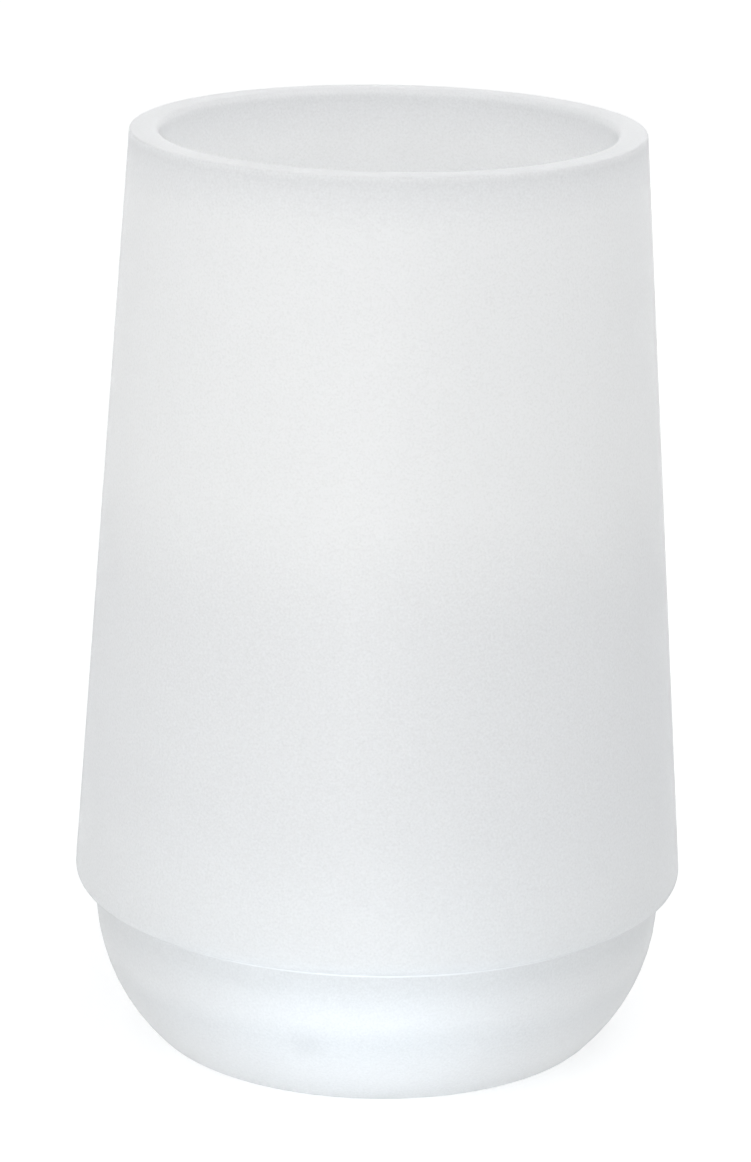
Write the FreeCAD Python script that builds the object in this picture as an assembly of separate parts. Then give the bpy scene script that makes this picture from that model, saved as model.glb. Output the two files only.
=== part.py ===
import FreeCAD, Part
import math
import os

from FreeCAD import Vector

# All sizes are in millimetres. The origin is on the rest plane, under the middle of the foot, and +Z is up.

# Overall
height = 110.0               # rest plane to the top of the rim
rim_diameter = 60.0          # across the wall at the top, before the rim is rounded
bowl_diameter = 68.0         # across the upright land at the top of the bowl

# Base cup
seat_height = 18.6           # rest plane to the ledge that carries the sleeve
ledge_width = 1.1            # from the land in to the collar, where the sleeve begins
ledge_bevel = 0.3            # ground edge between the land and the ledge
land_height = 1.5            # upright ring of the bowl that a ring holder closes around
bowl_run = 7.4               # how far the bowl's curve comes in from the land to the rest plane
foot_round = 2.5
foot_ring_width = 6.5        # flat ring that the tumbler stands on
hollow_depth = 1.0           # shallow hollow inside the foot ring
hollow_round = 0.8
floor_thickness = 5.0        # glass left above the hollow
inner_round = 10.0           # rounding between the floor and the inside of the collar
collar_height = 8.5          # collar above the ledge
collar_wall = 2.6            # at the collar's upper end
collar_round = 1.0

# Sleeve
wall = 3.5
rim_outer_round = 0.3
rim_inner_round = 0.7
shoulder_round = 1.8

# Bond between the two glasses
bond_gap = 0.2               # thickness of the cured adhesive, beside the collar and on the ledge
bond_stop = 0.6              # the adhesive ends this far under the collar's rounded edge
bead_leg = 0.6               # outside bead, along each glass
bead_waist = 0.2             # outside bead, at the middle of its hollow face
bead_round = 0.5

# Limits
EDGE_SHARE = 0.45            # the most of a wall's thickness that one rounded edge takes
TOUCH = 1e-6                 # points closer than this are one point

# Levels and radii that follow from the sizes above
sleeve_bottom = seat_height + bond_gap
collar_top = seat_height + collar_height
collar_edge = min(collar_round, EDGE_SHARE * collar_wall)
bond_top = collar_top - collar_edge - bond_stop
land_top = seat_height - ledge_bevel
land_bottom = land_top - land_height
floor_level = hollow_depth + floor_thickness
rim_radius = rim_diameter / 2
bowl_radius = bowl_diameter / 2
shoulder_radius = bowl_radius - ledge_width + bond_gap + wall
taper = (shoulder_radius - rim_radius) / (height - sleeve_bottom)


def outer_radius(level):
    """Outside of the sleeve's cone."""
    return rim_radius + taper * (height - level)


def bore_radius(level):
    """Inside of the sleeve's cone."""
    return outer_radius(level) - wall


def collar_radius(level):
    """Outside of the collar, one bond thickness inside the sleeve's bore."""
    return bore_radius(level) - bond_gap


def corner_arc(before, corner, after, rounding):
    """Start, middle and end of the arc that rounds one corner of an outline."""
    to_before = (before - corner).normalize()
    to_after = (after - corner).normalize()
    half_angle = to_before.getAngle(to_after) / 2
    reach = rounding / math.tan(half_angle)
    rise = rounding / math.sin(half_angle) - rounding
    middle = corner + (to_before + to_after).normalize() * rise
    return corner + to_before * reach, middle, corner + to_after * reach


def turned(corners):
    """Solid turned about +Z from an outline of (radius, level, rounding) corners."""
    points = [Vector(radius, 0, level) for radius, level, rounding in corners]
    preceding = points[-1:] + points[:-1]
    following = points[1:] + points[:1]
    arcs = []
    for before, point, after, corner in zip(preceding, points, following, corners):
        arcs.append(corner_arc(before, point, after, corner[2]))
    edges = []
    for (start, middle, end), next_arc in zip(arcs, arcs[1:] + arcs[:1]):
        if not start.isEqual(end, TOUCH):
            edges.append(Part.Arc(start, middle, end).toShape())
        if not end.isEqual(next_arc[0], TOUCH):
            edges.append(Part.makeLine(end, next_arc[0]))
    face = Part.Face(Part.Wire(edges))
    return face.revolve(Vector(0, 0, 0), Vector(0, 0, 1), 360)


def tapered_sleeve():
    """Conical glass wall, open at both ends, with a rounded rim and a rounded shoulder."""
    widest_edge = EDGE_SHARE * wall
    return turned([
        (outer_radius(height), height, min(rim_outer_round, widest_edge)),
        (outer_radius(sleeve_bottom), sleeve_bottom, shoulder_round),
        (bore_radius(sleeve_bottom), sleeve_bottom, 0),
        (bore_radius(height), height, min(rim_inner_round, widest_edge)),
    ])


def base_cup():
    """Thick glass bowl with a foot ring, a ledge for the sleeve and a collar that goes up inside it.

    The bowl's curve leaves the land upright and would meet the rest plane after its run, so its radius is
    (run^2 + drop^2) / (2 run). The foot's rounding is tangent to the curve and to the rest plane.
    """
    curve = (bowl_run ** 2 + land_bottom ** 2) / (2 * bowl_run)
    curve_middle = bowl_radius - curve
    flat_edge = curve_middle + math.sqrt((curve - foot_round) ** 2 - (land_bottom - foot_round) ** 2)
    turn = math.atan2(land_bottom - foot_round, flat_edge - curve_middle)
    hollow_edge = flat_edge - foot_ring_width
    hollow_rounding = min(hollow_round, hollow_depth)
    foot = [
        (0, hollow_depth, 0),
        (hollow_edge - hollow_depth, hollow_depth, hollow_rounding),
        (hollow_edge, 0, hollow_rounding),
        (flat_edge + foot_round * math.tan((math.pi / 2 - turn) / 2), 0, foot_round),
    ]
    bowl = [
        (bowl_radius, land_bottom - curve * math.tan(turn / 2), curve),
        (bowl_radius, land_top, 0),
        (bowl_radius - ledge_bevel, seat_height, 0),
    ]
    collar_inside = collar_radius(collar_top) - collar_wall
    collar = [
        (collar_radius(seat_height), seat_height, 0),
        (collar_radius(collar_top), collar_top, collar_edge),
        (collar_inside, collar_top, collar_edge),
    ]
    inside = [
        (collar_inside, floor_level, inner_round),
        (0, floor_level, 0),
    ]
    return turned(foot + bowl + collar + inside)


def bond_ring():
    """Clear cured adhesive between collar, ledge and sleeve, with a hollow-faced bead along the outside seam."""
    return turned([
        (collar_radius(bond_top), bond_top, 0),
        (collar_radius(seat_height), seat_height, 0),
        (bowl_radius - ledge_bevel, seat_height, 0),
        (bowl_radius, land_top, 0),
        (bowl_radius, sleeve_bottom - bead_leg, 0),
        (bowl_radius + bead_waist, sleeve_bottom - bead_waist, bead_round),
        (bowl_radius + bead_leg, sleeve_bottom, 0),
        (bore_radius(sleeve_bottom), sleeve_bottom, 0),
        (bore_radius(bond_top), bond_top, 0),
    ])


os.makedirs("parts", exist_ok=True)
tapered_sleeve().exportStep("parts/tapered_sleeve.step")
base_cup().exportStep("parts/base_cup.step")
bond_ring().exportStep("parts/bond_ring.step")
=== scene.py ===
"""Looks of a frosted glass tumbler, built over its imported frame: satin glass, a white stage and a camera."""

import math

import bpy
import numpy as np
from bpy.props import FloatProperty, FloatVectorProperty, IntProperty, PointerProperty
from mathutils import Matrix, Vector


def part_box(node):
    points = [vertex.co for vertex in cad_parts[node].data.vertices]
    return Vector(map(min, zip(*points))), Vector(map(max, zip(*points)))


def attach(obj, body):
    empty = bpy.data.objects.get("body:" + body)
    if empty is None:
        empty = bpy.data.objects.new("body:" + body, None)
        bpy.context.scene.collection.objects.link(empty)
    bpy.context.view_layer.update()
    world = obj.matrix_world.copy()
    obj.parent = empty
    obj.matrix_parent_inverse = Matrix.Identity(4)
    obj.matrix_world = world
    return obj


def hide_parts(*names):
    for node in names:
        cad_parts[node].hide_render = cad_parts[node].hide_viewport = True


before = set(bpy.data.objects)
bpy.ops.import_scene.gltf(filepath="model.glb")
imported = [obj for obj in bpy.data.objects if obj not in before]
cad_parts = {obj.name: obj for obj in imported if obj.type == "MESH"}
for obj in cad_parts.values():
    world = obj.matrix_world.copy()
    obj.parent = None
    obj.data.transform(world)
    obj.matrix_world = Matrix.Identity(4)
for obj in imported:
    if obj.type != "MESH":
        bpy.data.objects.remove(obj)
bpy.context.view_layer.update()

bl_info = {
    "name": "Frosted tumbler",
    "version": (1, 0, 0),
    "blender": (4, 5, 0),
    "location": "View3D > Sidebar > Tumbler",
    "description": "Builds a satin glass tumbler and its studio",
    "category": "Object",
}

MM = 0.001

# Camera
PHOTO_HEIGHT = 1162                 # pixels
SENSOR_MM = 36.0

# Meshes
MAIN, BONDED = 0, 1                 # material slots: the piece's own finish, and faces that the bond wets
SAME_POINT = 1e-6                   # outline points closer than this are one point
BLUNT = 1e-12                       # keeps the bisector of a straight corner from being zero
ARC_STEP = math.radians(6)
SHARP_ANGLE = math.radians(25)
INSIDE = 0.01 * MM                  # keeps the round shoulder inside the box of the CAD's faceted one

# Stage
FLOOR_HALF = 3.0
FLOOR_GAP = 0.02 * MM               # under the foot, so that the floor's face and the foot's don't coincide
SKY_TINT = (0.98, 0.988, 1.0, 1.0)
SKY_WHITE = 1.03                    # above 1, so that the tinted sky is still white to the eye
WHITE = (1.0, 1.0, 1.0, 1.0)
MOST_BOUNCES = 32
SURFACE_BOUNCES = 12

# Frosted glass
CLOUD_SCALE = 60.0
DARKEST_TONE = 0.8
GRAIN_TONE = 0.36                   # how much the grain lightens the darkest tone
CLOUD_TONE = 0.02
ROUGHNESS_SPREAD = 0.1              # from the smoothest grain to the roughest
RELIEF_STRENGTH = 0.5
RELIEF_DEPTH = 0.05 * MM
GLASS_INDEX = 1.5
RIM_POLISHED = 0.5 * MM             # depth of the fire-polished top of the rim
RIM_ROUGHNESS = 0.74                # share of the roughness left at the very top
# A small dark spot low in the base's wall
DARK_SPOT_PLACE = (-7.7 * MM, -31.7 * MM, 9.0 * MM)
DARK_SPOT_REACH = 3.0 * MM
DARK_SPOT_DEPTH = 0.1
ACROSS = (1.0, 1.0, 0.0)            # keeps x and y of a place

# Tint of the glass with painted shade and painted light in bands by height, as (share of the tumbler's height,
# linear colour)
TINT_AND_PAINTED_SHADE_STOPS = [
    # foot
    (0.0, (0.992, 0.998, 1.0)),
    (0.04, (0.992, 0.998, 1.0)),
    # painted shade bands in the bowl
    (0.085, (0.91, 0.92, 0.926)),
    (0.11, (0.992, 0.998, 1.0)),
    (0.15, (0.89, 0.9, 0.906)),
    # painted shade at the edge of the shoulder, and a painted lighter band beside the collar
    (0.172, (0.905, 0.914, 0.92)),
    (0.19, (0.96, 0.967, 0.97)),
    (0.235, (0.962, 0.968, 0.971)),
    # painted shade on the lower body and painted light on the upper body
    (0.3, (0.931, 0.937, 0.943)),
    (0.53, (0.934, 0.939, 0.943)),
    (0.65, (0.99, 0.993, 0.99)),
    (0.945, (0.99, 0.993, 0.992)),
    # painted shade ring under the rim, and the rim's top painted lighter
    (0.975, (0.93, 0.935, 0.94)),
    (0.993, (0.87, 0.876, 0.882)),
    (0.9955, (0.87, 0.876, 0.882)),
    (0.9972, (0.995, 0.998, 1.0)),
]

# Cured adhesive
BOND_CLOUD_SCALE = 400.0
BOND_DARKEST_TONE = 0.94
BOND_CLOUD_TONE = 0.12
BOND_ROUGHNESS = 0.35
BOND_ROUGHNESS_SPREAD = 0.2
BOND_CLARITY = 0.4
BOND_INDEX = 1.48

# Sockets of a Mix node that mixes colours
MIX_FIRST, MIX_SECOND, MIX_RESULT = 6, 7, 2

SLEEVE_LOW, SLEEVE_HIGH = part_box("tapered_sleeve")
CUP_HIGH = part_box("base_cup")[1]
BOND_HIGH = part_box("bond_ring")[1]


def length(name, description, default):
    """A length property in metres."""
    return FloatProperty(
        name=name, description=description, default=default, min=0.0, unit="LENGTH", precision=5)


def colour(name, description, default):
    """A linear colour property."""
    return FloatVectorProperty(
        name=name, description=description, default=default, size=3, min=0, max=1, subtype="COLOR")


def share(name, description, default):
    """A number from 0 to 1."""
    return FloatProperty(
        name=name, description=description, default=default, min=0.0, max=1.0, subtype="FACTOR")


def strength(name, description, default):
    """A light strength, where 1 is white."""
    return FloatProperty(name=name, description=description, default=default, min=0.0)


def tilt(name, description, default):
    """An angle property."""
    return FloatProperty(name=name, description=description, default=default, subtype="ANGLE")


class TumblerSizes(bpy.types.PropertyGroup):
    """Sizes of the two glasses and the bond between them."""

    rim_radius: length("Rim radius", "Outside of the wall at the top", 30.0 * MM)
    wall: length("Wall", "Thickness of the sleeve", 3.5 * MM)
    rim_outer_round: length("Rim outer rounding", "Outer edge of the rim", 0.3 * MM)
    rim_inner_round: length("Rim inner rounding", "Inner edge of the rim", 0.7 * MM)
    shoulder_round: length("Shoulder rounding", "Lower outer edge of the sleeve", 1.8 * MM)
    bond_gap: length("Bond gap", "Thickness of the cured adhesive", 0.2 * MM)
    ledge_width: length("Ledge width", "From the land in to the collar", 1.1 * MM)
    ledge_bevel: length("Ledge bevel", "Edge between the land and the ledge", 0.3 * MM)
    land_height: length("Land height", "Upright ring at the top of the bowl", 1.5 * MM)
    bowl_run: length("Bowl run", "How far the bowl's curve comes in", 7.4 * MM)
    foot_round: length("Foot rounding", "Outer edge of the foot", 2.5 * MM)
    foot_ring_width: length("Foot ring", "Flat ring the tumbler stands on", 6.5 * MM)
    hollow_depth: length("Hollow depth", "Hollow inside the foot ring", 1.0 * MM)
    hollow_round: length("Hollow rounding", "Edges of the hollow", 0.8 * MM)
    floor_thickness: length("Floor", "Glass above the hollow", 5.0 * MM)
    inner_round: length("Inner rounding", "Between the floor and the collar", 10.0 * MM)
    collar_wall: length("Collar wall", "At the collar's upper end", 2.6 * MM)
    collar_round: length("Collar rounding", "Upper edges of the collar", 1.0 * MM)
    bead_leg: length("Bead leg", "Outside bead, along each glass", 0.6 * MM)
    bead_waist: length("Bead waist", "Outside bead, at its middle", 0.2 * MM)
    bead_round: length("Bead rounding", "Hollow face of the bead", 0.5 * MM)
    step: length("Step", "Longest step along an outline", 1.6 * MM)
    around: IntProperty(name="Around", description="Steps once round the axis", default=256, min=32)


class GlassFinish(bpy.types.PropertyGroup):
    """Colours and finish of the satin glass and of the bond."""

    glow: colour("Glow", "Light that passes the frosting diffusely", (0.985, 0.985, 0.985))
    translucency: share("Translucency", "Share of light that passes diffusely", 0.2)
    clarity: share("Clarity", "Share of the surface that acts as rough clear glass", 0.5)
    roughness: share("Roughness", "Of the satin surface", 0.5)
    base_translucency: share("Base translucency", "The same for the thick base", 0.25)
    base_clarity: share("Base clarity", "The same for the thick base", 0.55)
    # painted shade towards the base's outline
    base_edge: share("Base edge", "How much the thick base darkens towards its outline", 0.1)
    base_roughness: share("Base roughness", "The same for the thick base", 0.45)
    grain: length("Grain", "Size of the etched grain", 0.28 * MM)
    bond: colour("Bond", "Clear cured adhesive", (0.95, 0.96, 0.96))


class StudioSettings(bpy.types.PropertyGroup):
    """Camera and light."""

    eye_distance: length("Eye distance", "From the axis to the eye, along the floor", 506.44 * MM)
    eye_height: length("Eye height", "From the floor to the eye", 201.36 * MM)
    look_down: tilt("Look down", "Tilt below the horizon", 0.28049)
    look_aside: tilt("Look aside", "Turn about the upright", 0.00143)
    roll: tilt("Roll", "Turn about the line of sight", 0.01539)
    focal_pixels: FloatProperty(
        name="Focal length", description="In pixels of the full frame", default=4426.3)
    sky: strength("Sky", "Light from all round", 0.763)
    sky_in_glass: strength("Sky in glass", "The same, seen in gloss and through glass", 0.763)
    floor_shade: share("Floor shade", "Lightness of the floor under the lamps", 0.8)
    floor_white: strength("Floor white", "Lifts the floor to white for the eye", 0.4)
    floor_in_glass: strength("Floor in glass", "Lifts the floor in gloss and through glass", 0.35)


class Value:
    """One shader socket. Arithmetic on it adds Math nodes to its tree."""

    def __init__(self, tree, socket=None):
        self.tree = tree
        self.socket = socket

    def feed(self, socket):
        """Links this value to the input of a node."""
        self.tree.links.new(self.socket, socket)

    def add(self, kind, settings=None, inputs=None, output=0):
        """Any other node: its settings first, then its inputs set or linked. Gives one of its outputs."""
        node = self.tree.nodes.new(kind)
        for name, setting in (settings or {}).items():
            if name == "stops":
                place_stops(node.color_ramp, setting)
            else:
                setattr(node, name, setting)
        for name, value in (inputs or {}).items():
            if isinstance(value, Value):
                value.feed(node.inputs[name])
            else:
                node.inputs[name].default_value = value
        return Value(self.tree, node.outputs[output])

    def math(self, operation, first, second):
        """A Math node on two values, either of which may be a plain number."""
        return self.add("ShaderNodeMath", {"operation": operation}, {0: first, 1: second})

    def __add__(self, other):
        return self.math("ADD", self, other)

    def __radd__(self, other):
        return self.math("ADD", other, self)

    def __sub__(self, other):
        return self.math("SUBTRACT", self, other)

    def __rsub__(self, other):
        return self.math("SUBTRACT", other, self)

    def __mul__(self, other):
        return self.math("MULTIPLY", self, other)

    def __rmul__(self, other):
        return self.math("MULTIPLY", other, self)

    def __truediv__(self, other):
        return self.math("DIVIDE", self, other)

    def __rtruediv__(self, other):
        return self.math("DIVIDE", other, self)

    def maximum(self, other):
        """The larger of two values."""
        return self.math("MAXIMUM", self, other)

    def below(self, limit):
        """1 where this value is less than a limit, and 0 elsewhere."""
        return self.math("LESS_THAN", self, limit)

    def apply_to(self, tint):
        """A colour multiplied by this value."""
        return self.add(
            "ShaderNodeMix", {"data_type": "RGBA", "blend_type": "MULTIPLY"},
            {"Factor": 1.0, MIX_FIRST: tint, MIX_SECOND: self}, output=MIX_RESULT)


def place_stops(ramp, stops):
    """Puts (position, colour) stops on a colour ramp."""
    while len(ramp.elements) < len(stops):
        ramp.elements.new(1.0)
    for element, (position, tint) in zip(ramp.elements, stops):
        element.position = position
        element.color = (*tint, 1.0)


def new_tree(owner, output_kind="ShaderNodeOutputMaterial"):
    """An empty node tree of a material or world, and the surface input of its output node."""
    owner.use_nodes = True
    tree = owner.node_tree
    tree.nodes.clear()
    return Value(tree), tree.nodes.new(output_kind).inputs["Surface"]


def thick_shade(shade, place, edge):
    """Darkening of the thick base: painted shade towards its outline, and a small dark spot low in its wall.
    """
    # painted shade, darker where the surface turns away towards the outline
    facing = shade.add("ShaderNodeLayerWeight", None, {"Blend": 0.5}, output="Facing")
    apart = shade.add(
        "ShaderNodeVectorMath", {"operation": "DISTANCE"}, {0: place, 1: DARK_SPOT_PLACE}, output="Value")
    near = (1.0 - apart / DARK_SPOT_REACH).maximum(0.0)
    return (1.0 - edge * facing) * (1.0 - DARK_SPOT_DEPTH * near)


def inner_lift(shade, place):
    """Added height for the tint and its painted shade ring inside the rim, because its inner edge is rounded
    further down.
    """
    s = bpy.context.scene.tumbler_sizes
    flat = shade.add("ShaderNodeVectorMath", {"operation": "MULTIPLY"}, {0: place, 1: ACROSS})
    radius = shade.add("ShaderNodeVectorMath", {"operation": "LENGTH"}, {0: flat}, output="Value")
    return (s.rim_inner_round - s.rim_outer_round) * radius.below(s.rim_radius - s.wall / 2)


def rim_polish(shade, height):
    """Share of the roughness that is left: all of it on the wall, less on the polished top of the rim."""
    top = SLEEVE_HIGH.z
    return shade.add("ShaderNodeMapRange", None, {
        "Value": height, "From Min": top - RIM_POLISHED, "From Max": top,
        "To Min": 1.0, "To Max": RIM_ROUGHNESS})


def frosted_glass(name, finish, translucency, clarity, roughness, edge=None):
    """Acid-frosted glass, tinted by height with painted shade and light. With an edge it is thick and has
    painted shade towards its outline, else it has the rim.
    """
    material = bpy.data.materials.new(name)
    shade, surface = new_tree(material)
    place = shade.add("ShaderNodeTexCoord", output="Object")
    grain = shade.add("ShaderNodeTexNoise", None, {
        "Vector": place, "Scale": 1 / finish.grain, "Detail": 2.0, "Roughness": 0.6})
    cloud = shade.add("ShaderNodeTexNoise", None, {"Vector": place, "Scale": CLOUD_SCALE, "Detail": 3.0})
    height = shade.add("ShaderNodeSeparateXYZ", None, {"Vector": place}, output="Z")
    tone = DARKEST_TONE + GRAIN_TONE * grain + CLOUD_TONE * cloud
    rough = roughness - ROUGHNESS_SPREAD / 2 + ROUGHNESS_SPREAD * grain
    if edge is None:
        level = height + inner_lift(shade, place)
        rough = rough * rim_polish(shade, height)
    else:
        level = height
        tone = tone * thick_shade(shade, place, edge)
    # tint by height, which carries the painted shade bands, the painted shade ring and the painted lighter rim
    tint = shade.add("ShaderNodeValToRGB", {"stops": TINT_AND_PAINTED_SHADE_STOPS}, {"Fac": level / SLEEVE_HIGH.z})
    relief = shade.add("ShaderNodeBump", None, {
        "Strength": RELIEF_STRENGTH, "Distance": RELIEF_DEPTH, "Height": grain})
    body = shade.add("ShaderNodeBsdfPrincipled", None, {
        "Base Color": tone.apply_to(tint), "Roughness": rough, "Normal": relief, "IOR": GLASS_INDEX,
        "Transmission Weight": clarity})
    through = shade.add("ShaderNodeBsdfTranslucent", None, {"Color": (*finish.glow, 1.0), "Normal": relief})
    shade.add("ShaderNodeMixShader", None, {0: translucency, 1: body, 2: through}).feed(surface)
    return material


def wetted_face():
    """Face that the adhesive wets: glass and adhesive bend light alike, so it passes unseen."""
    known = bpy.data.materials.get("wetted_glass_face")
    if known:
        return known
    material = bpy.data.materials.new("wetted_glass_face")
    shade, surface = new_tree(material)
    shade.add("ShaderNodeBsdfTransparent", None, {"Color": WHITE}).feed(surface)
    return material


def cured_bond(finish):
    """Clear cured adhesive, faintly clouded."""
    material = bpy.data.materials.new("cured_bond")
    shade, surface = new_tree(material)
    place = shade.add("ShaderNodeTexCoord", output="Object")
    cloud = shade.add("ShaderNodeTexNoise", None, {
        "Vector": place, "Scale": BOND_CLOUD_SCALE, "Detail": 2.0})
    tone = BOND_DARKEST_TONE + BOND_CLOUD_TONE * cloud
    shade.add("ShaderNodeBsdfPrincipled", None, {
        "Base Color": tone.apply_to((*finish.bond, 1.0)),
        "Roughness": BOND_ROUGHNESS + BOND_ROUGHNESS_SPREAD * cloud,
        "IOR": BOND_INDEX, "Transmission Weight": BOND_CLARITY}).feed(surface)
    return material


def sleeve_glass(finish):
    """The sleeve's frosted glass and its wetted faces."""
    frosted = frosted_glass(
        "acid_frosted_glass", finish, finish.translucency, finish.clarity, finish.roughness)
    return [frosted, wetted_face()]


def base_glass(finish):
    """The thick base's frosted glass and its wetted faces."""
    frosted = frosted_glass(
        "thick_frosted_glass", finish, finish.base_translucency, finish.base_clarity,
        finish.base_roughness, finish.base_edge)
    return [frosted, wetted_face()]


def unit(vectors):
    """Rows scaled to length 1."""
    return vectors / np.linalg.norm(vectors, axis=1, keepdims=True)


def rounded_outline(corners, step):
    """Points along the outline of (radius, level, rounding, finish) corners, and the finish after each point.

    Each corner becomes the arc of its rounding, tangent to both sides:
    middle = corner + bisector * rounding / sin(half), ends = corner + side * rounding / tan(half).
    Arcs turn by at most 6 degrees a step, and straight stretches are divided evenly into steps no longer
    than step.
    """
    corners = np.asarray(corners, float)
    points, rounding, finish = corners[:, :2], corners[:, 2], corners[:, 3].astype(int)
    to_before = unit(np.roll(points, 1, axis=0) - points)
    to_after = unit(np.roll(points, -1, axis=0) - points)
    half = np.arccos(np.clip((to_before * to_after).sum(axis=1), -1, 1)) / 2
    reach = (rounding / np.tan(half))[:, None]
    middle = points + unit(to_before + to_after + BLUNT) * (rounding / np.sin(half))[:, None]
    starts, ends = points + to_before * reach, points + to_after * reach
    runs, finishes = [], []
    for start, end, centre, radius, following, kind in zip(
            starts, ends, middle, rounding, np.roll(starts, -1, axis=0), finish):
        first, last = start - centre, end - centre
        angle = math.atan2(first[1], first[0])
        turn = math.atan2(first[0] * last[1] - first[1] * last[0], first @ last)
        steps = 2 + math.ceil(abs(turn) / ARC_STEP) if radius else 1
        around = angle + turn * np.linspace(0, 1, steps)[:, None]
        arc = centre + radius * np.hstack([np.cos(around), np.sin(around)])
        gap = np.linalg.norm(following - end)
        along = np.linspace(0, 1, 1 + max(1, math.ceil(gap / step)))[1:-1, None]
        runs += [arc, end + (following - end) * along]
        finishes += [kind] * (len(arc) + len(along))
    outline = np.vstack(runs)
    kept = np.linalg.norm(outline - np.roll(outline, -1, axis=0), axis=1) > SAME_POINT
    return outline[kept], np.array(finishes)[kept]


def turned(name, outline, finishes, around, materials):
    """A closed solid of revolution: point(i, j) = (r_i cos t_j, r_i sin t_j, z_i), faces between neighbours.

    The outline runs up the outside, so that faces point outwards. One that starts and ends on the axis is
    closed there by fans of triangles. Otherwise its last point joins its first.
    """
    on_axis = outline[0, 0] < SAME_POINT
    ring = outline[1:-1] if on_axis else outline
    angle = np.linspace(0, 2 * math.pi, around, endpoint=False)
    rows = len(ring)
    grid = np.stack([
        ring[:, 0, None] * np.cos(angle),
        ring[:, 0, None] * np.sin(angle),
        np.repeat(ring[:, 1, None], around, axis=1),
    ], axis=-1).reshape(-1, 3)
    i, j = np.meshgrid(np.arange(rows - 1 if on_axis else rows), np.arange(around), indexing="ij")
    below, above, beside = i * around, (i + 1) % rows * around, (j + 1) % around
    quads = np.stack([below + j, below + beside, above + beside, above + j], axis=-1).reshape(-1, 4)
    faces = quads.tolist()
    kinds = np.repeat(finishes[1:-2] if on_axis else finishes, around)
    if on_axis:
        poles = np.array([[0, 0, outline[0, 1]], [0, 0, outline[-1, 1]]])
        grid = np.vstack([grid, poles])
        column = np.arange(around)
        following = (column + 1) % around
        last = (rows - 1) * around
        first_fan = np.stack([np.full(around, rows * around), following, column], axis=-1)
        last_fan = np.stack([np.full(around, rows * around + 1), last + column, last + following], axis=-1)
        faces += first_fan.tolist() + last_fan.tolist()
        kinds = np.concatenate([kinds, np.full(2 * around, MAIN)])
    mesh = bpy.data.meshes.new(name)
    mesh.from_pydata(grid.tolist(), [], faces)
    for material in materials:
        mesh.materials.append(material)
    mesh.polygons.foreach_set("material_index", kinds)
    mesh.shade_smooth()
    mesh.set_sharp_from_angle(angle=SHARP_ANGLE)
    mesh.update()
    piece = bpy.data.objects.new(name, mesh)
    bpy.context.scene.collection.objects.link(piece)
    return piece


class Levels:
    """Levels and radii that follow from the sizes and the frame, in metres."""

    def __init__(self, s):
        self.top = SLEEVE_HIGH.z
        self.sleeve_bottom = SLEEVE_LOW.z
        self.seat = self.sleeve_bottom - s.bond_gap
        self.collar_top = CUP_HIGH.z
        self.bond_top = BOND_HIGH.z
        self.floor = s.hollow_depth + s.floor_thickness
        self.bowl_radius = CUP_HIGH.x
        self.land_top = self.seat - s.ledge_bevel
        self.land_bottom = self.land_top - s.land_height
        shoulder = self.bowl_radius - s.ledge_width + s.bond_gap + s.wall - INSIDE
        self.taper = (shoulder - s.rim_radius) / (self.top - self.sleeve_bottom)
        self.sizes = s

    def outside(self, level):
        """Outside of the sleeve's cone."""
        return self.sizes.rim_radius + self.taper * (self.top - level)

    def bore(self, level):
        """Inside of the sleeve's cone."""
        return self.outside(level) - self.sizes.wall

    def collar(self, level):
        """Outside of the collar."""
        return self.bore(level) - self.sizes.bond_gap


def add_piece(name, node, corners, materials):
    """Makes one turned piece that stands for a CAD node."""
    s = bpy.context.scene.tumbler_sizes
    outline, finishes = rounded_outline(corners, s.step)
    piece = turned(name, outline, finishes, s.around, materials)
    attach(piece, "root")
    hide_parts(node)


class TUMBLER_OT_sleeve(bpy.types.Operator):
    """Conical frosted wall with a flat rim and a rounded shoulder."""

    bl_idname = "tumbler.sleeve"
    bl_label = "Tapered sleeve"

    def execute(self, context):
        s = context.scene.tumbler_sizes
        at = Levels(s)
        corners = [
            (at.outside(at.top), at.top, s.rim_outer_round, MAIN),
            (at.bore(at.top), at.top, s.rim_inner_round, MAIN),
            (at.bore(at.bond_top), at.bond_top, 0, BONDED),
            (at.bore(at.sleeve_bottom), at.sleeve_bottom, 0, BONDED),
            (at.bowl_radius + s.bead_leg, at.sleeve_bottom, 0, MAIN),
            (at.outside(at.sleeve_bottom), at.sleeve_bottom, s.shoulder_round, MAIN),
        ]
        materials = sleeve_glass(context.scene.tumbler_finish)
        add_piece("tapered_sleeve_glass", "tapered_sleeve", corners, materials)
        return {"FINISHED"}


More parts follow.
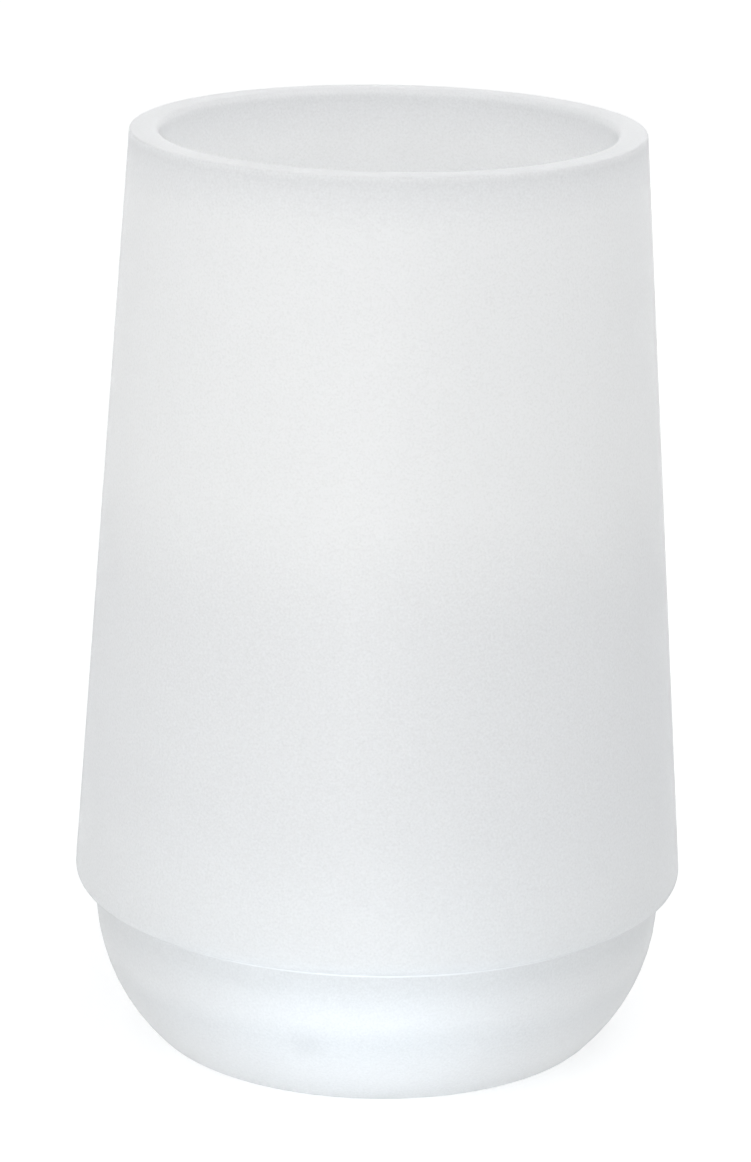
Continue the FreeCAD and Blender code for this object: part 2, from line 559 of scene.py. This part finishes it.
class TUMBLER_OT_base(bpy.types.Operator):
    """Thick bowl with its foot ring, ledge and collar.

    The bowl's curve leaves the land upright: radius = (run^2 + drop^2) / (2 run). The foot's rounding is
    tangent to it and to the floor.
    """

    bl_idname = "tumbler.base"
    bl_label = "Base cup"

    def execute(self, context):
        s = context.scene.tumbler_sizes
        at = Levels(s)
        curve = (s.bowl_run ** 2 + at.land_bottom ** 2) / (2 * s.bowl_run)
        curve_middle = at.bowl_radius - curve
        rise = at.land_bottom - s.foot_round
        flat_edge = curve_middle + math.sqrt((curve - s.foot_round) ** 2 - rise ** 2)
        turn = math.atan2(rise, flat_edge - curve_middle)
        hollow_edge = flat_edge - s.foot_ring_width
        inside = at.collar(at.collar_top) - s.collar_wall
        corners = [
            (0, s.hollow_depth, 0, MAIN),
            (hollow_edge - s.hollow_depth, s.hollow_depth, s.hollow_round, MAIN),
            (hollow_edge, 0, s.hollow_round, MAIN),
            (flat_edge + s.foot_round * math.tan((math.pi / 2 - turn) / 2), 0, s.foot_round, MAIN),
            (at.bowl_radius, at.land_bottom - curve * math.tan(turn / 2), curve, MAIN),
            (at.bowl_radius, at.sleeve_bottom - s.bead_leg, 0, BONDED),
            (at.bowl_radius, at.land_top, 0, BONDED),
            (at.bowl_radius - s.ledge_bevel, at.seat, 0, BONDED),
            (at.collar(at.seat), at.seat, 0, BONDED),
            (at.collar(at.bond_top), at.bond_top, 0, MAIN),
            (at.collar(at.collar_top), at.collar_top, s.collar_round, MAIN),
            (inside, at.collar_top, s.collar_round, MAIN),
            (inside, at.floor, s.inner_round, MAIN),
            (0, at.floor, 0, MAIN),
        ]
        materials = base_glass(context.scene.tumbler_finish)
        add_piece("base_cup_glass", "base_cup", corners, materials)
        return {"FINISHED"}


class TUMBLER_OT_bond(bpy.types.Operator):
    """Clear bond between the glasses, with its bead along the seam."""

    bl_idname = "tumbler.bond"
    bl_label = "Bond ring"

    def execute(self, context):
        s = context.scene.tumbler_sizes
        at = Levels(s)
        corners = [
            (at.bore(at.bond_top), at.bond_top, 0, MAIN),
            (at.collar(at.bond_top), at.bond_top, 0, BONDED),
            (at.collar(at.seat), at.seat, 0, BONDED),
            (at.bowl_radius - s.ledge_bevel, at.seat, 0, BONDED),
            (at.bowl_radius, at.land_top, 0, BONDED),
            (at.bowl_radius, at.sleeve_bottom - s.bead_leg, 0, MAIN),
            (at.bowl_radius + s.bead_waist, at.sleeve_bottom - s.bead_waist, s.bead_round, MAIN),
            (at.bowl_radius + s.bead_leg, at.sleeve_bottom, 0, BONDED),
            (at.bore(at.sleeve_bottom), at.sleeve_bottom, 0, BONDED),
        ]
        materials = [cured_bond(context.scene.tumbler_finish), wetted_face()]
        add_piece("bond_ring_seam", "bond_ring", corners, materials)
        return {"FINISHED"}


def allow_bounces(cycles):
    """Enough bounces for light to cross all the walls of the glass."""
    cycles.max_bounces = MOST_BOUNCES
    cycles.diffuse_bounces = SURFACE_BOUNCES
    cycles.glossy_bounces = SURFACE_BOUNCES
    cycles.transmission_bounces = MOST_BOUNCES
    cycles.transparent_max_bounces = MOST_BOUNCES


def add_camera(studio):
    """Camera at the photo's eye point, turned by yaw, tilt and roll."""
    data = bpy.data.cameras.new("camera")
    data.sensor_width = SENSOR_MM
    data.lens = studio.focal_pixels / PHOTO_HEIGHT * SENSOR_MM
    camera = bpy.data.objects.new("camera", data)
    turn = (Matrix.Rotation(studio.look_aside, 4, "Z")
            @ Matrix.Rotation(math.pi / 2 - studio.look_down, 4, "X")
            @ Matrix.Rotation(studio.roll, 4, "Z"))
    camera.matrix_world = Matrix.Translation((0, -studio.eye_distance, studio.eye_height)) @ turn
    bpy.context.scene.collection.objects.link(camera)
    bpy.context.scene.camera = camera


def shown(shade, white, in_glass, lit):
    """A strength by the kind of ray: white to the eye, in_glass in gloss and through glass, lit as light."""
    camera = shade.add("ShaderNodeLightPath", output="Is Camera Ray")
    glossy = shade.add("ShaderNodeLightPath", output="Is Glossy Ray")
    through = shade.add("ShaderNodeLightPath", output="Is Transmission Ray")
    return lit + (white - lit) * camera + (in_glass - lit) * glossy.maximum(through)


def add_floor(studio):
    """A wide pale floor, white to the eye and still darkened by the tumbler's shadow."""
    mesh = bpy.data.meshes.new("floor")
    half, level = FLOOR_HALF, -FLOOR_GAP
    corners = [(-half, -half, level), (half, -half, level), (half, half, level), (-half, half, level)]
    mesh.from_pydata(corners, [], [(0, 1, 2, 3)])
    floor = bpy.data.objects.new("floor", mesh)
    bpy.context.scene.collection.objects.link(floor)
    material = bpy.data.materials.new("white_sweep")
    material.cycles.emission_sampling = "NONE"
    shade, surface = new_tree(material)
    matte = shade.add("ShaderNodeBsdfDiffuse", None, {"Color": (studio.floor_shade,) * 3 + (1.0,)})
    lift = shown(shade, studio.floor_white, studio.floor_in_glass, 0.0)
    glow = shade.add("ShaderNodeEmission", None, {"Color": WHITE, "Strength": lift})
    shade.add("ShaderNodeAddShader", None, {0: matte, 1: glow}).feed(surface)
    mesh.materials.append(material)


def add_world(studio):
    """White to the eye, and a softer light from all round in glass and for the surfaces."""
    world = bpy.data.worlds.new("studio")
    bpy.context.scene.world = world
    shade, surface = new_tree(world, "ShaderNodeOutputWorld")
    light = shown(shade, SKY_WHITE, studio.sky_in_glass, studio.sky)
    shade.add("ShaderNodeBackground", None, {"Color": SKY_TINT, "Strength": light}).feed(surface)


def add_lamp(name, place, aim, size, power, tint, shape="RECTANGLE"):
    """A soft lamp at place, facing aim, of a width and a height."""
    data = bpy.data.lights.new(name, "AREA")
    data.shape = shape
    data.color = tint
    data.size, data.size_y = size
    data.energy = power
    lamp = bpy.data.objects.new(name, data)
    lamp.location = place
    lamp.visible_camera = False
    lamp.rotation_mode = "QUATERNION"
    lamp.rotation_quaternion = (Vector(aim) - Vector(place)).to_track_quat("-Z", "Y")
    bpy.context.scene.collection.objects.link(lamp)


MIDDLE = (0, 0, 0.06)
NEUTRAL, WARM, COOL = (1.0, 1.0, 1.0), (1.0, 0.99, 0.94), (0.7, 0.86, 1.0)

# Place, aim, width and height in metres, power in watts, tint, and the shape of a round one
LAMPS = {
    "left_softbox": ((-0.9, -0.1, 0.3), MIDDLE, (0.5, 0.5), 0.235, NEUTRAL),
    "front_softbox": ((-0.027, -0.2, 0.03), (0, 0, 0.045), (0.1, 0.1), 0.098, NEUTRAL),
    "front_left_softbox": ((-0.3, -0.3, 0.1), MIDDLE, (0.16, 0.16), 0.113, WARM),
    "back_low_softbox": ((0, 1.0, 0.15), MIDDLE, (0.3, 0.3), 0.156, NEUTRAL),
    "above_mouth_softbox": ((0.11, -0.02, 0.28), (-0.02, 0, 0.1), (0.1, 0.1), 0.06, NEUTRAL),
    "rim_softbox": ((0, 0.6, 0.22), (0, 0, 0.11), (0.4, 0.1), 0.065, NEUTRAL),
    "under_foot_panel": ((0, 0, 0.0005), (0, 0, 0.1), (0.036, 0.036), 0.0016, NEUTRAL, "DISK"),
    "foot_strip": ((-0.004, -0.05, 0.0027), (-0.002, -0.03, 0.004), (0.05, 0.0045), 0.0034, COOL),
}


class TUMBLER_OT_stage(bpy.types.Operator):
    """White floor, soft lamps and the camera."""

    bl_idname = "tumbler.stage"
    bl_label = "Stage"

    def execute(self, context):
        studio = context.scene.tumbler_studio
        context.scene.view_settings.view_transform = "Standard"
        allow_bounces(context.scene.cycles)
        add_camera(studio)
        add_floor(studio)
        add_world(studio)
        for name, lamp in LAMPS.items():
            add_lamp(name, *lamp)
        return {"FINISHED"}


class TUMBLER_PT_panel(bpy.types.Panel):
    """Lists the tumbler's pieces and its stage in the sidebar."""

    bl_idname = "TUMBLER_PT_panel"
    bl_label = "Tumbler"
    bl_space_type = "VIEW_3D"
    bl_region_type = "UI"
    bl_category = "Tumbler"

    def draw(self, context):
        for operator in OPERATORS:
            self.layout.operator(operator.bl_idname)


OPERATORS = (TUMBLER_OT_sleeve, TUMBLER_OT_base, TUMBLER_OT_bond, TUMBLER_OT_stage)
GROUPS = {"tumbler_sizes": TumblerSizes, "tumbler_finish": GlassFinish, "tumbler_studio": StudioSettings}


def register():
    """Registers the properties, the operators and the panel."""
    for name, group in GROUPS.items():
        bpy.utils.register_class(group)
        setattr(bpy.types.Scene, name, PointerProperty(type=group))
    for cls in (*OPERATORS, TUMBLER_PT_panel):
        bpy.utils.register_class(cls)


def unregister():
    """Takes out what register put in."""
    for cls in (TUMBLER_PT_panel, *reversed(OPERATORS)):
        bpy.utils.unregister_class(cls)
    for name, group in GROUPS.items():
        delattr(bpy.types.Scene, name)
        bpy.utils.unregister_class(group)


def main():
    """Builds the tumbler and its stage."""
    register()
    bpy.ops.tumbler.sleeve()
    bpy.ops.tumbler.base()
    bpy.ops.tumbler.bond()
    bpy.ops.tumbler.stage()


if __name__ == "__main__":
    main()
